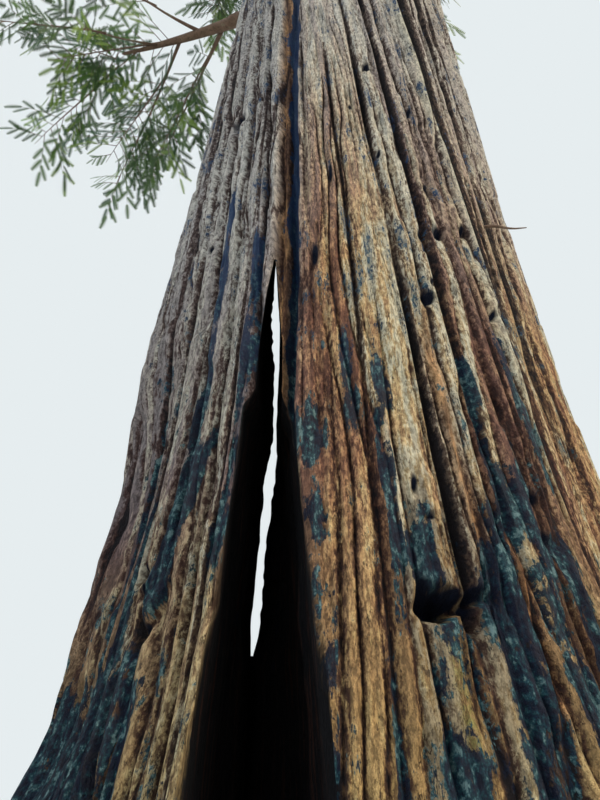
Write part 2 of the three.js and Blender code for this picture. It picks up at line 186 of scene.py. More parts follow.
# Burnt places: turn at the ground, half width in degrees, lowest and highest point, strength.
BURNS = [
    (-121.4, 1.6, 1.3, 3.2, 0.95), (-110.8, 1.2, 1.35, 2.75, 0.85),
    (-107.6, 0.8, 1.3, 2.3, 0.8), (-130.8, 3.2, 0.2, 1.3, 1.25),
    (-138.4, 14.2, 0.05, 1.08, 1.25), (-130.8, 1.5, 1.1, 1.75, 0.85),
    (-136, 1.2, 0.9, 2, 0.7), (-73.8, 3.1, 0.7, 1.4, 0.84), (-66.6, 2.3, 0.6, 1.6, 0.7),
    (-69.6, 1.2, 1.3, 2, 0.7), (-82.8, 1.7, 1.16, 1.42, 0.9), (-85.8, 1, 1.15, 1.75, 0.75),
    (-90.4, 1.3, 1.6, 2.1, 0.6), (-84.6, 1.3, 1.7, 2.1, 0.65), (-87.9, 0.6, 0.75, 1.02, 0.75),
    (-83.2, 0.9, 0.6, 1, 0.6), (-59, 1.3, 1.5, 2.3, 0.75), (-61.6, 1.4, 0.9, 1.5, 0.55),
    (-94.6, 0.8, 0.3, 1.2, 0.5), (-53.6, 0.9, 2.05, 3.1, 0.55), (-70.3, 0.6, 2.4, 3.1, 0.65),
    (-78.6, 0.9, 0.2, 1.1, 0.6), (-80.6, 2.6, 0.6, 1.17, 0.46), (-40, 7, 0.2, 1.1, 0.55),
    (-15, 6, 0.1, 1.3, 0.7), (20, 9, 0.1, 0.9, 0.6), (80, 8, 0.1, 1.9, 0.85),
    (150, 6, 0.1, 1.1, 0.65), (-160, 7, 0.1, 1.2, 0.7),
]
# The cleft above the hollow: height, and turn of its left and right edge.
CLEFT = np.array([
    (1.7, -106.9, -102.2), (2.14, -108.6, -103), (2.9, -110.6, -104.9), (3.77, -113.8, -107.9),
    (4.34, -116.1, -109.4), (5.04, -117.9, -111), (6.2, -122, -116.2), (7.5, -126, -121.6),
    (9, -129.8, -127.4),
])
CLEFT_DEEP = 0.125
HIGH_BARK = 6
FULL_BARK_RADIUS = 0.6


def cleft_share(turn, z):
    """How far across the cleft a place is, from 0 at its left edge to 1 at its right."""
    left = np.interp(z, CLEFT[:, 0], CLEFT[:, 1])
    right = np.interp(z, CLEFT[:, 0], CLEFT[:, 2])
    return (turn - left) / (right - left)


def bark_form(ground, z):
    """Depth of the bark under the trunk's round, and the masks of its finish."""
    ground = (ground + 180) % 360 - 180
    turn = turn_on_grain(ground, z)
    metre = math.pi / 180 * mean_radius(z)
    angle = np.radians(ground)

    def noise(across, along, series):
        """Noise on the bark without a seam: cycles per metre round the trunk and up it."""
        place = np.stack([np.cos(angle) * across, np.sin(angle) * across, z * along], axis=1)
        return soft_noise(place + 300, series)

    front = window(ground, -97.5, -42, 6)
    low = window(z, -1, 1.7, 1.8)
    ragged = noise(26, 4.2, 12) + 0.6 * noise(60, 11, 13)
    sway = 0.55 * noise(2.5, 0.8, 9) + 0.3 * noise(6, 2.4, 10)

    # Broad ropes with flat crests, each split into strands of its own colour.
    phase = ground / 360 * ROPES + 400
    phase += 0.95 * noise(1.7, 0.2, 1) + 0.4 * noise(5.5, 0.65, 2)
    phase += 0.07 * noise(15, 4, 18)
    part = phase - np.floor(phase)
    rope = np.round(phase) % ROPES
    fade = soft_noise(np.stack([rope * 7.31, z * 0.35, rope * 0], 1), 3)
    strong = np.clip(0.66 + 0.7 * fade, 0.15, 1) * (1 - 0.2 * front)
    strong *= 1 - 0.9 * front * (scatter(rope, 31) < 0.72)
    # The groove mask, here and below, marks where furrows and cracks are painted dark as shade.
    shaded_groove = strong * bell(np.minimum(part, 1 - part), 0.11)
    depth = 0.014 * strong * (1 - np.sin(math.pi * part) ** 0.4) + 0.036 * shaded_groove
    strand = phase * STRANDS_PER_ROPE + 0.9 * noise(9, 1.3, 4)
    part = strand - np.floor(strand)
    split = np.clip(0.5 + 1.2 * noise(7, 0.9, 5), 0.05, 1)
    splits = split * bell(np.minimum(part, 1 - part), 0.14)
    depth += 0.007 * split * (1 - np.sin(math.pi * part) ** 0.4) + 0.013 * splits
    shaded_groove = np.maximum(shaded_groove, 0.75 * splits)
    strand = np.floor(strand) % (ROPES * STRANDS_PER_ROPE)
    hue = 0.5 + 0.75 * (scatter(strand, 28) - 0.5)
    hue += 0.38 * soft_noise(np.stack([strand * 3.7, z * 0.9, strand * 0], 1), 29)
    hue += 0.3 * noise(3.5, 0.5, 30)

    # Shorter cracks part and meet again, and tear the face of each rope into strings.
    wide_crack = bell(noise(13, 0.62, 19), 0.085)
    wide_crack *= np.clip(0.45 + 1.1 * noise(4, 0.8, 20) + 0.3 * low, 0, 1)
    thin_crack = bell(noise(31, 1.9, 24), 0.12)
    thin_crack *= np.clip(0.5 + 1.1 * noise(7, 1.5, 25) + 0.3 * low, 0, 1)
    calm = 1 - 0.55 * front * (1 - low)
    depth += calm * (0.024 * wide_crack + 0.01 * thin_crack)
    depth += 0.007 * np.clip(6 * noise(22, 5, 6), -1, 1)
    depth += 0.009 * np.abs(noise(45, 5, 7)) + 0.004 * noise(80, 16, 8)
    shaded_groove = np.maximum(shaded_groove, calm * np.maximum(wide_crack, 0.75 * thin_crack))
    for at, half, deep, low_end, high_end in FURROWS:
        strong = window(z, low_end, high_end, 0.6)
        strong *= np.clip(0.8 + 0.45 * noise(1, 1.1, 11 + int(-at) % 7), 0.3, 1)
        near = strong * bell(ground - at + sway, half)
        depth = np.maximum(depth, deep * near + 0.4 * depth * near)
        # The far wall is what shows from the front, so the painted shade of a furrow lies on it.
        lean = 0.5 * half * min(max((at + 92) / 25, -1), 1)
        far_wall_shade = strong * bell(ground - at - lean + sway, 1.2 * half)
        shaded_groove = np.maximum(shaded_groove, far_wall_shade * min(1.2, 0.4 + 14 * deep))

    # Fire, old twig holes, and the places where it bit deepest.
    char = np.zeros(len(z))
    for at, half, low_end, high_end, strength in BURNS:
        edge = 0.45 * half * ragged
        side = window(ground + edge + 0.6 * sway, at - half, at + half, 0.6 * half)
        rise = window(z + 0.1 * ragged, low_end, high_end, 0.22)
        char = np.maximum(char, strength * side * rise)
    hole_shade = np.zeros(len(z))
    for at, height, wide, long, deep in SCARS:
        across = (turn - at) * metre / (1.15 * wide)
        up = (z - height) / (1.3 * long)
        edge = np.sqrt(across ** 2 + up ** 2) * (0.9 + 0.35 * ragged)
        near = np.clip(1.15 - edge, 0, 1)
        near = near * near * (3 - 2 * near)
        depth += deep * near
        # Each hole's upper wall, which faces down and shows from below, is painted dark as shade.
        up = (z - height - 0.7 * long) / (1.4 * long)
        edge = np.sqrt(across ** 2 + up ** 2) * (1 + 0.45 * ragged)
        hole_shade = np.maximum(hole_shade, np.clip(1.2 - edge, 0, 1))
    # At lower left it has eaten the whole face back.
    depth += 0.1 * window(turn, -178, -134, 14) * window(z, 0.55, 2.05, 0.9)
    depth += 0.05 * window(turn, -180, -138, 14) * window(z, 0.2, 1.15, 0.5)

    # A burnt lip of bark left of the hollow ends in a ragged drip over the bark under it.
    lip = ground + 123.8 - 11.5 * (z - 1.23) + 0.5 * ragged
    fold = z - 1.19 - 0.035 * np.abs(lip) + 0.02 * ragged
    lip = window(lip, -2.3, 2.1, 1.2)
    depth -= 0.026 * lip * np.clip(fold / 0.06 + 0.5, 0, 1) * np.exp(-np.maximum(fold, 0) / 0.4)
    # The bark just under the lip is sunk a little and painted dark as its shade.
    under = lip * window(fold, -0.09, -0.02, 0.05)
    depth += 0.018 * under
    shaded_groove = np.maximum(shaded_groove, 0.9 * under)
    char = np.maximum(char, 1.1 * lip * window(fold, -0.02, 0.55, 0.12))

    # The slab of bark over the pocket stands proud of the burnt wood under it.
    slab = window(turn + 0.5 * ragged, -86, -78.2, 0.6)
    slab *= window(z + 0.02 * ragged, 1.215, 1.75, 0.02)
    under = window(turn, -89, -60, 2) * window(z, 0.5, 1.215, 0.2)
    depth += 0.016 * under * (1 - slab)

    # The cleft above the hollow: bare red wood on its left, and charcoal on its right.
    share = cleft_share(turn + 0.25 * ragged, z)
    walls = window(share, 0, 1, 0.32) * window(z, 1.4, 8.6, 0.8)
    floor = CLEFT_DEEP * (1 - 0.7 * np.clip((z - 2.2) / 6.4, 0, 1))
    floor = floor * (0.62 + 0.38 * window(share, 0.45, 1.1, 0.3))
    depth = depth * (1 - walls) + (floor + 0.5 * depth) * walls
    char = np.maximum(char, 1.3 * walls * window(share + 0.1 * ragged, 0.42, 1.3, 0.16))
    raw = walls * window(share, -0.1, 0.46, 0.2)
    mouth = window(z, -0.5, 2.6, 0.8) * window(turn, -114.5, -96, 1.6)
    char = np.maximum(char, 0.55 * mouth * np.clip(0.5 + ragged, 0, 1))

    # Colours: the warm right side and foot, a left partly in painted shade, stains, pale ropes
    # (one edged with a painted highlight), moss and bare orange wood.
    warm = np.clip(window(ground, -101, 40, 16) * 0.9 + 0.25 * noise(2.2, 0.5, 14), 0, 1)
    warm = np.maximum(warm, 0.6 * window(z, -1, 1.5, 1.2))
    stain = window(ground + 0.6 * ragged, -85.5, -52, 3) * window(z, -1, 1.5, 0.8)
    stain *= np.clip(0.75 + 0.8 * noise(14, 1.8, 15), 0, 1)
    # The first pale band, beside a deep furrow, is raised and painted pale as the highlight on
    # its lit edge.
    pale = bell(ground + 56 + sway, 1.7) * window(z, 1.9, 7.5, 0.6)
    depth -= 0.03 * pale
    pale = np.maximum(pale, 0.8 * bell(ground + 85, 0.45) * window(z, 1.18, 1.72, 0.1))
    moss = 0.7 * bell(ground + 80.9, 0.7) * window(z + 0.05 * ragged, 0.9, 1.12, 0.05)
    spots = np.clip(noise(9, 1.6, 17) - 0.45, 0, 1)
    moss = np.maximum(moss, 0.25 * spots * window(z, -1, 2.5, 2))
    orange = bell(ground + 70.6 + 0.4 * ragged, 0.7) * window(z, 0.95, 1.36, 0.08)
    flank = bell(ground + 75.2 + 0.5 * ragged, 1.5) * window(z, 1.26, 2.1, 0.3)
    orange = np.maximum(orange, 0.9 * np.maximum(flank, raw))
    char = np.clip(char - 0.9 * orange * (1 - walls), 0, 1.3)
    # High rises from the foot to HIGH_BARK. With it the bark is painted paler and greyer, and
    # browner at the foot, as painted light from the sky above.
    high = np.clip(z / HIGH_BARK, 0, 1)
    masks = {
        "shaded_groove": shaded_groove, "hole_shade": hole_shade, "char": char, "warm": warm, "stain": stain, "pale": pale,
        "moss": moss, "orange": orange, "hue": hue, "high": high,
    }
    return depth * np.clip(mean_radius(z) / FULL_BARK_RADIUS, 0.25, 1), masks


def bark_place(ground, z):
    """Places on the bark, as an array of points."""
    turn = np.radians(turn_on_grain(ground, z))
    radius = trunk_radius(turn, z) - bark_form(ground, z)[0]
    return np.stack([axis_x(z) + radius * np.cos(turn), radius * np.sin(turn), z], axis=1)


def read(items, name):
    """A vector of each item of a mesh, such as its points' places, as rows of an array."""
    values = np.empty(len(items) * 3)
    items.foreach_get(name, values)
    return values.reshape(-1, 3)


@contextmanager
def edited(mesh):
    """A mesh opened for editing, and written back afterwards."""
    build = bmesh.new()
    build.from_mesh(mesh)
    yield build
    build.to_mesh(mesh)
    build.free()


def show(name, mesh):
    piece = bpy.data.objects.new(name, mesh)
    bpy.context.collection.objects.link(piece)
    return piece


def bark_round(name, columns, rows):
    """A closed round of bark with a column of points at each turn and a row at each height."""
    mesh = bpy.data.meshes.new(name)
    with edited(mesh) as build:
        bmesh.ops.create_grid(build, x_segments=len(columns), y_segments=len(rows) - 1, size=0.5)
    points = read(mesh.vertices, "co")
    across = np.rint((points[:, 0] + 0.5) * len(columns)).astype(int)
    up = np.rint((points[:, 1] + 0.5) * (len(rows) - 1)).astype(int)
    placed = bark_place(np.append(columns, columns[0])[across], rows[up])
    mesh.vertices.foreach_set("co", placed.astype(np.float32).ravel())
    # The first and the last column lie on each other, and are merged into one.
    ends = np.flatnonzero((across == 0) | (across == len(columns)))
    with edited(mesh) as build:
        build.verts.ensure_lookup_table()
        bmesh.ops.remove_doubles(build, verts=[build.verts[int(i)] for i in ends], dist=1e-5)
        rims = [e for e in build.edges if e.is_boundary]
        bmesh.ops.holes_fill(build, edges=rims, sides=0)
        bmesh.ops.recalc_face_normals(build, faces=build.faces[:])
    return show(name, mesh)


def rows_of(bands):
    """Heights from the bottom of the first band to the top of the last."""
    heights = [np.arange(low, high - step / 2, step) for low, high, step in bands]
    return np.concatenate(heights + [np.array([bands[-1][1]])])


front_step = (FRONT_ARC[1] - FRONT_ARC[0]) / FRONT_COLUMNS
back_step = (360 - FRONT_ARC[1] + FRONT_ARC[0]) / BACK_COLUMNS
columns = np.concatenate([
    FRONT_ARC[0] + front_step * np.arange(FRONT_COLUMNS),
    FRONT_ARC[1] + back_step * np.arange(BACK_COLUMNS),
])
lower_trunk = bark_round("lower_trunk", columns, rows_of(ROW_BANDS))


# Burnt hollow
# Fire opened a wedge in the foot that narrows to a crack right through the trunk. Its walls
# are charcoal, cracked along the grain, with a few bare reddish strips near the crack.
HOLLOW_FLOOR = 0.1
HOLLOW_FRONT = -2.3
HOLLOW_BACK = 1.9
MOUTH_Y = -1.1
WEDGE_END_Y = 0.3
SLOT_HALF = 0.027
SLOT_SILL = 1.43
SLOT_SILL_Y = 0.7
HOLLOW_X = -0.287
HOLLOW_SKEW = -0.0594
MOUTH_FOOT_HALF = 0.188
MOUTH_TAPER = 0.067
MOUTH_TOP = 1.83
ROOF_Z = 3.475
ROOF_SLOPE = 1.05
LEAST_RISE = 0.5
WALL_STEPS = 190
# The crack as it is seen from a place in front: how steeply the sight rises through it, how
# far the crack leans to the right there for each metre, and its share of the usual width.
EYE = (-0.139, -2.49, 0.8)
CRACK = np.array([
    (0.185, -0.0164, 0.1), (0.24, -0.0124, 0.7), (0.29, -0.0095, 1), (0.38, -0.0045, 0.6),
    (0.42, -0.002, 0.9), (0.5, 0.0022, 1.1), (0.59, 0.0122, 0.5), (0.68, 0.0151, 1),
    (0.76, 0.012, 0.5), (0.84, 0.0098, 1.2), (0.94, 0.006, 0.9), (1.05, 0.0027, 0.6),
])


def hollow_walls(points):
    """Moves a box's points, which run from -0.5 to 0.5, on to the walls of the hollow."""
    y = HOLLOW_FRONT + (HOLLOW_BACK - HOLLOW_FRONT) * (points[:, 1] + 0.5)
    rise = np.clip(y / SLOT_SILL_Y, 0, 1)
    floor = HOLLOW_FLOOR + (SLOT_SILL - HOLLOW_FLOOR) * rise
    roof = np.maximum(ROOF_Z + ROOF_SLOPE * y, floor + LEAST_RISE)
    z = floor + (roof - floor) * (points[:, 2] + 0.5)
    mouth = np.maximum(MOUTH_FOOT_HALF - MOUTH_TAPER * z, SLOT_HALF)
    closed = np.clip((z + 0.04 * points[:, 0] - MOUTH_TOP) / 0.09, 0, 1)
    mouth = mouth + (0.018 - mouth) * closed
    open_share = np.maximum((WEDGE_END_Y - y) / (WEDGE_END_Y - MOUTH_Y), 0)
    half = SLOT_HALF + (mouth - SLOT_HALF) * open_share
    point = np.clip((roof - z + 0.01) / 0.42, 0.02, 1) ** 0.85
    side = np.sign(points[:, 0])
    place = np.stack([y, z * 0.8, side * 3], axis=1) + 50
    waves = np.abs(soft_noise(place * [5.5, 1.1, 1], 21)) * 0.03
    waves += np.abs(soft_noise(place * [16, 2.6, 1], 22)) * 0.014
    waves += np.abs(soft_noise(place * [44, 9, 1], 23)) * 0.005
    waves *= np.clip(0.25 + open_share, 0, 1)
    through = window(y, -0.35, 3, 0.5)
    rise = (z - EYE[2]) / (y - EYE[1])
    lean, width = (np.interp(rise, CRACK[:, 0], CRACK[:, i]) for i in (1, 2))
    torn = np.stack([rise * 26, 7 + 2 * side, rise * 0], 1)
    torn = 0.3 * soft_noise(torn, 26) + 0.22 * soft_noise(torn * [3.1, 1, 1], 27)
    half = half * (1 + through * (width * (1 + torn) - 1))
    bend = through * lean * (y - EYE[1])
    x = HOLLOW_X + HOLLOW_SKEW * y + bend + 2 * points[:, 0] * (half + waves) * point
    return np.stack([x, y, z], axis=1)


hollow_mesh = bpy.data.meshes.new("hollow_cutter")
with edited(hollow_mesh) as build:
    bmesh.ops.create_cube(build, size=1)
    upright = [e for e in build.edges if abs(e.verts[0].co.x - e.verts[1].co.x) < 0.5]
    bmesh.ops.subdivide_edges(build, edges=upright, cuts=WALL_STEPS, use_grid_fill=True)
walls = hollow_walls(read(hollow_mesh.vertices, "co"))
hollow_mesh.vertices.foreach_set("co", walls.ravel())
hollow_cutter = show("hollow_cutter", hollow_mesh)

cut = lower_trunk.modifiers.new("hollow", "BOOLEAN")
cut.operation = "DIFFERENCE"
cut.solver = "MANIFOLD"
cut.object = hollow_cutter
bpy.context.view_layer.update()
cut_trunk = lower_trunk.evaluated_get(bpy.context.evaluated_depsgraph_get())
cut_mesh = bpy.data.meshes.new_from_object(cut_trunk)
bpy.data.objects.remove(hollow_cutter)
bpy.data.objects.remove(lower_trunk)


# Bark
# Fibrous bark, grey-purple on the shaded left of the hollow and red-brown on its right, with
# yellow-tan crests and blue-black charcoal where fire has been. The left's grey is partly painted
# shade, and its furrows, cracks and holes are painted near-black as shade.
def mark_bark(mesh):
    """Gives a trunk mesh the masks of its finish, and the place on the grain of each point."""
    points = read(mesh.vertices, "co")
    z = np.clip(points[:, 2], 0, TRUNK_TOP)
    out = np.hypot(points[:, 0] - axis_x(z), points[:, 1])
    turn = np.degrees(np.arctan2(points[:, 1], points[:, 0] - axis_x(z)))
    ground = ground_turn_of(turn, z)
    depth, masks = bark_form(ground, z)
    inside = trunk_radius(np.radians(turn), z) - depth - out
    masks["hollow"] = np.clip((inside - 0.004) / 0.03, 0, 1) * (z > 0.05) * (z < 5)
    for name, values in masks.items():
        layer = mesh.attributes.new(name, "FLOAT", "POINT")
        layer.data.foreach_set("value", values.astype(np.float32))
    angle = np.radians(ground)
    grain = np.stack([np.cos(angle) * mean_radius(z), np.sin(angle) * mean_radius(z), z], axis=1)
    deep = masks["hollow"][:, None]
    grain = grain * (1 - deep) + points * deep
    layer = mesh.attributes.new("grain", "FLOAT_VECTOR", "POINT")
    layer.data.foreach_set("vector", grain.astype(np.float32).ravel())


class BarkNodes:
    """Builds the bark's material one node at a time."""

    def __init__(self, name):
        self.material = bpy.data.materials.new(name)
        self.material.use_nodes = True
        self.tree = self.material.node_tree
        self.shader = self.tree.nodes["Principled BSDF"].inputs

    def add(self, kind, values=None, **settings):
        node = self.tree.nodes.new(kind)
        for key, value in settings.items():
            setattr(node, key, value)
        for key, value in (values or {}).items():
            if isinstance(value, bpy.types.NodeSocket):
                self.tree.links.new(value, node.inputs[key])
            else:
                node.inputs[key].default_value = value
        return node

    def mask(self, name):
        return self.add("ShaderNodeAttribute", attribute_name=name).outputs["Fac"]

    def place(self, name, scale):
        source = self.add("ShaderNodeAttribute", attribute_name=name).outputs["Vector"]
        values = {"Vector": source, "Scale": scale}
        return self.add("ShaderNodeMapping", values).outputs["Vector"]

    def noise(self, place, scale, detail, rough):
        values = {"Vector": place, "Scale": scale, "Detail": detail, "Roughness": rough}
        return self.add("ShaderNodeTexNoise", values).outputs["Fac"]

    def ramp(self, value, low, high, to_low=0, to_high=1):
        values = {"Value": value, "From Min": low, "From Max": high, "To Min": to_low,
                  "To Max": to_high}
        return self.add("ShaderNodeMapRange", values, clamp=True).outputs["Result"]

    def swing(self, noise, amount):
        """A noise, which keeps near a half, spread from minus an amount to plus the amount."""
        return self.ramp(noise, 0.42, 0.58, -amount, amount)

    def math(self, operation, first, second=0):
        return self.add("ShaderNodeMath", {0: first, 1: second}, operation=operation).outputs[0]

    def total(self, first, *others):
        for other in others:
            first = self.math("ADD", first, other)
        return first

    def blend(self, share, first, second, how="MIX"):
        values = {0: share, 6: first, 7: second}
        node = self.add("ShaderNodeMix", values, data_type="RGBA", blend_type=how)
        return node.outputs[2]

    def paint(self, base, *layers):
        """Lays plain colours over a colour, each by its own share."""
        for share, colour in layers:
            base = self.blend(share, base, (*colour, 1))
        return base

    def colours(self, value, stops):
        node = self.add("ShaderNodeValToRGB", {"Fac": value})
        while len(node.color_ramp.elements) < len(stops):
            node.color_ramp.elements.new(0.5)
        for element, (at, colour) in zip(node.color_ramp.elements, stops):
            element.position = at
            element.color = (*colour, 1)
        return node.outputs["Color"]

    def bump(self, height, distance, strength, under=None):
        values = {"Height": height, "Distance": distance, "Strength": strength}
        if under is not None:
            values["Normal"] = under
        return self.add("ShaderNodeBump", values).outputs["Normal"]

    def finish(self, colour, roughness, normal):
        for name, value in (("Base Color", colour), ("Roughness", roughness), ("Normal", normal)):
            self.tree.links.new(value, self.shader[name])
        self.shader["Specular IOR Level"].default_value = 0.18
        return self.material


def make_bark():
    bark = BarkNodes("redwood_bark")
    fibres = bark.place("grain", (1, 1, 0.05))
    even = bark.place("grain", (1, 1, 0.55))
    cords = bark.noise(fibres, 40, 7, 0.66)
    grit = bark.noise(bark.place("grain", (1, 1, 0.3)), 105, 5, 0.74)
    speck = bark.noise(even, 75, 4, 0.7)
    blotch = bark.noise(even, 8, 6, 0.68)

    # Sound bark: one row of colours for the shaded left and one for the right. The left's row is
    # darker and greyer, partly the bark's own tone and partly painted shade.
    hue = bark.total(
        bark.mask("hue"), bark.ramp(cords, 0.4, 0.6, -0.24, 0.24),
        bark.ramp(blotch, 0.4, 0.6, -0.16, 0.16), bark.swing(grit, 0.15),
    )
    cool = bark.colours(hue, [
        (0, (0.1, 0.076, 0.092)), (0.32, (0.195, 0.152, 0.155)), (0.55, (0.3, 0.255, 0.225)),
        (0.78, (0.39, 0.36, 0.285)), (1, (0.5, 0.49, 0.43)),
    ])
    warm = bark.colours(hue, [
        (0, (0.19, 0.088, 0.056)), (0.25, (0.35, 0.185, 0.1)), (0.5, (0.49, 0.3, 0.15)),
        (0.75, (0.6, 0.445, 0.23)), (1, (0.62, 0.57, 0.42)),
    ])
    base = bark.blend(bark.mask("warm"), cool, warm)
    # Painted light from above: paler and greyer higher up, less so on the warm side, and browner
    # at the foot.
    grey = bark.math("SUBTRACT", bark.mask("high"), bark.ramp(bark.mask("warm"), 0, 1, 0, 0.24))
    base = bark.paint(
        base, (bark.ramp(grey, 0.17, 0.52, 0, 0.72), (0.53, 0.515, 0.49)),
        (bark.ramp(bark.mask("high"), 0.12, 0.26, 0.52, 0), (0.45, 0.34, 0.12)),
        # Pale bands, one of them a painted highlight on a furrow's lit edge.
        (bark.math("MULTIPLY", bark.mask("pale"), 0.85), (0.6, 0.57, 0.45)),
    )
    stain = bark.ramp(bark.total(bark.mask("stain"), bark.swing(cords, 0.25)), 0.3, 0.7, 0, 0.8)
    base = bark.blend(stain, base, (0.46, 0.4, 0.38, 1), "MULTIPLY")
    raw = bark.colours(cords, [(0.42, (0.15, 0.066, 0.03)), (0.6, (0.58, 0.31, 0.13))])
    base = bark.blend(bark.mask("orange"), base, raw)
    moss = bark.math("MULTIPLY", bark.mask("moss"), bark.ramp(speck, 0.38, 0.58))
    base = bark.paint(base, (moss, (0.3, 0.3, 0.09)))
    base = bark.blend(1, base, bark.ramp(grit, 0.41, 0.58, 0.72, 1.45), "MULTIPLY")

    # Dark specks, and painted shade in the seams along the grain and in the furrows.
    seams = bark.math("SUBTRACT", bark.noise(fibres, 30, 5, 0.62), 0.5)
    seams = bark.ramp(bark.math("ABSOLUTE", seams), 0.003, 0.014, 1, 0)
    seams = bark.math("MULTIPLY", seams, bark.ramp(blotch, 0.44, 0.52))
    deep = bark.total(bark.mask("shaded_groove"), bark.swing(grit, -0.16))
    deep = bark.math("SUBTRACT", deep, bark.ramp(cords, 0.48, 0.6, 0, 0.25))
    base = bark.paint(
        base, (bark.ramp(speck, 0.61, 0.65, 0, 0.7), (0.03, 0.02, 0.022)),
        (bark.math("MULTIPLY", seams, 0.85), (0.02, 0.011, 0.011)),
        (bark.ramp(deep, 0.15, 0.5, 0, 0.85), (0.075, 0.03, 0.022)),
        (bark.ramp(deep, 0.42, 0.85, 0, 0.96), (0.006, 0.005, 0.008)),
    )

    # Charcoal with ragged edges: blue-black, flecked with painted silver-teal glints, and painted
    # bluer higher up as skylight. Then the walls of the hollow, and painted shade in the holes.
    coal = bark.colours(bark.total(speck, bark.swing(cords, 0.1)), [
        (0.4, (0.002, 0.006, 0.024)), (0.52, (0.005, 0.024, 0.048)),
        (0.61, (0.014, 0.078, 0.098)), (0.69, (0.16, 0.27, 0.28)),
    ])
    painted_skylight = bark.ramp(bark.mask("high"), 0.3, 0.5, 0, 0.75)
    coal = bark.paint(coal, (painted_skylight, (0.008, 0.048, 0.16)))
    ragged = bark.total(bark.swing(blotch, 0.34), bark.swing(cords, 0.18), bark.swing(grit, 0.16))
    burnt = bark.ramp(bark.total(bark.mask("char"), ragged), 0.4, 0.54, 0, 0.97)
    base = bark.blend(burnt, base, coal)
    soot = bark.colours(cords, [(0.53, (0.003, 0.003, 0.0048)), (0.6, (0.04, 0.015, 0.01))])
    base = bark.blend(bark.mask("hollow"), base, soot)
    base = bark.paint(base, (bark.ramp(bark.mask("hole_shade"), 0.25, 0.7), (0.004, 0.008, 0.024)))

    normal = bark.bump(cords, 0.085, 0.9)
    normal = bark.bump(bark.math("SUBTRACT", 1, seams), 0.01, 0.8, normal)
    normal = bark.bump(grit, 0.045, 0.9, normal)
    smooth = bark.math("MULTIPLY", burnt, 0.2)
    roughness = bark.math("SUBTRACT", bark.ramp(grit, 0.42, 0.58, 0.8, 0.97), smooth)
    return bark.finish(base, roughness, normal)


bark_material = make_bark()
SHARP_TURN = math.radians(70)
LOWER_CUTS = [-1, 1.25, 2.05, 2.95, 4.6, 9]


def share_out(mesh, name, cuts):
    """Splits a trunk mesh at heights into pieces that keep the whole mesh's shading."""
    mark_bark(mesh)
    mesh.set_sharp_from_angle(angle=SHARP_TURN)
    normals = read(mesh.corner_normals, "vector")
    layer = mesh.attributes.new("whole_normal", "FLOAT_VECTOR", "CORNER")
    layer.data.foreach_set("vector", normals.ravel())
    heights = read(mesh.polygons, "center")[:, 2]
    for number, (low, high) in enumerate(zip(cuts, cuts[1:]), 1):
        outside = np.flatnonzero((heights < low) | (heights >= high))
        build = bmesh.new()
        build.from_mesh(mesh)
        build.faces.ensure_lookup_table()
        bmesh.ops.delete(build, geom=[build.faces[int(i)] for i in outside], context="FACES")
        part = bpy.data.meshes.new(f"{name}_{number}")
        build.to_mesh(part)
        build.free()
        part.set_sharp_from_angle(angle=SHARP_TURN)
        normals = read(part.attributes["whole_normal"].data, "vector")
        part.attributes.remove(part.attributes["whole_normal"])
        part.normals_split_custom_set(normals)
        part.materials.append(bark_material)
        part.polygons.foreach_set("material_index", np.zeros(len(part.polygons), dtype=np.int32))
        piece = show(f"{name}_{number}", part)
        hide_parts("trunk")
        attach(piece, "root")


def open_top(mesh, height):
    """Takes off the flat cap that closed a round of bark at a height."""
    with edited(mesh) as build:
        caps = [f for f in build.faces if min(v.co.z for v in f.verts) > height - 1e-4]
        bmesh.ops.delete(build, geom=caps, context="FACES_ONLY")


open_top(cut_mesh, LOWER_TOP)
share_out(cut_mesh, "trunk_bark", LOWER_CUTS)


# Trunk, upper part
# The same stem above the reach of fire, where the ropes of bark run straight up to the top.
UPPER_COLUMNS = 220
UPPER_CUTS = [0, 20, 40]
upper_columns = -180 + 360 / UPPER_COLUMNS * np.arange(UPPER_COLUMNS)
upper_rows = rows_of([(LOWER_TOP - 0.05, 20, 0.07), (20, TRUNK_TOP, 0.11)])
upper_trunk = bark_round("upper_trunk", upper_columns, upper_rows)
upper_mesh = upper_trunk.data
bpy.data.objects.remove(upper_trunk)
share_out(upper_mesh, "trunk_bark_upper", UPPER_CUTS)


# Boughs
# Twenty short boughs and one low one, bare and rough near the trunk. Each leaves it in
# golden-angle turns, dips under its own weight and bends up again towards its tip.
CROWN_FOOT = 13.6
CROWN_HEAD = 38
BOUGHS = 20
LIMBS = 35
LIMB_CROWDING = 0.92
GOLDEN_TURN = math.radians(137.508)
WIDEST_REACH = 3.3
BOUGH_GIRTH = 0.041
BOUGH_SHARE = 0.38
BOUGH_SIDES = 16
BOUGH_STEPS = 34
LIMB_TAPER = 0.86
LEADER_GIRTH = 0.9
# The low bough: its height, turn, reach and slope.
LOW_BOUGH = (7.35, math.radians(163), 2.25, -0.2)


class Limb:
    """A bough with its foliage, or the leader, along a curve from the trunk's axis."""


def between(low, high, k, series):
    return low + (high - low) * scatter(k, series)


def unit(vector):
    return vector / np.linalg.norm(vector)


def trunk_axis(z):
    return np.array([axis_x(z), 0, z])


def crown_reach(z):
    rise = (z - CROWN_FOOT) / (TREE_TOP - CROWN_FOOT)
    return WIDEST_REACH * (1 - rise) ** 0.5 * (1 - 0.25 * math.exp(-rise / 0.06))


